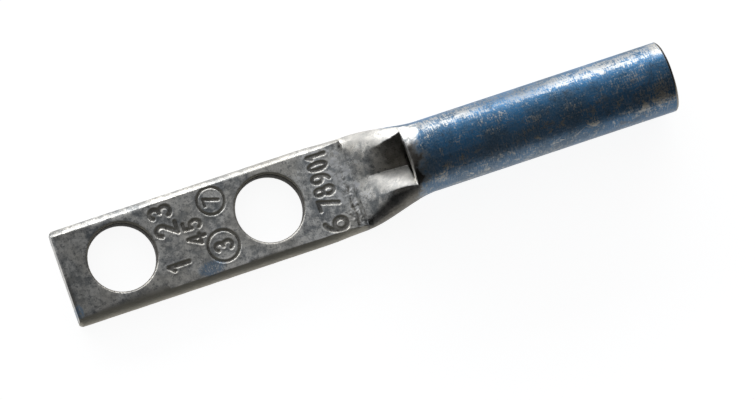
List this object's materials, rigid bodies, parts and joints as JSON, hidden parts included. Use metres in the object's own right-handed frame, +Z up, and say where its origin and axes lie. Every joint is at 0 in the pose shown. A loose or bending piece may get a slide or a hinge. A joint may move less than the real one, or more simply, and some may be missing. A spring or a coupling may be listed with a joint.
{
  "type": "two-hole cable lug",
  "caption": "Long-barrel compression lug pressed from copper tube: flat palm with stud holes in line, V-shaped inspection window at the neck, round wire barrel with a blue band.",
  "frame": {"origin": "centre of the bounding box in X and Y, on the flat underside at Z = 0", "axes": "+X along the tube axis, from the palm's sheared end to the wire mouth; +Y across the palm; +Z up from the flat underside, through the stud holes"},
  "size_m": [0.0652, 0.0104, 0.0074],
  "materials": {
    "tinned_copper": "dull electro-tin over copper, with worn blue marking ink on the barrel"
  },
  "bodies": {
    "root": {"lug": "tinned_copper"}
  },
  "joints": []
}
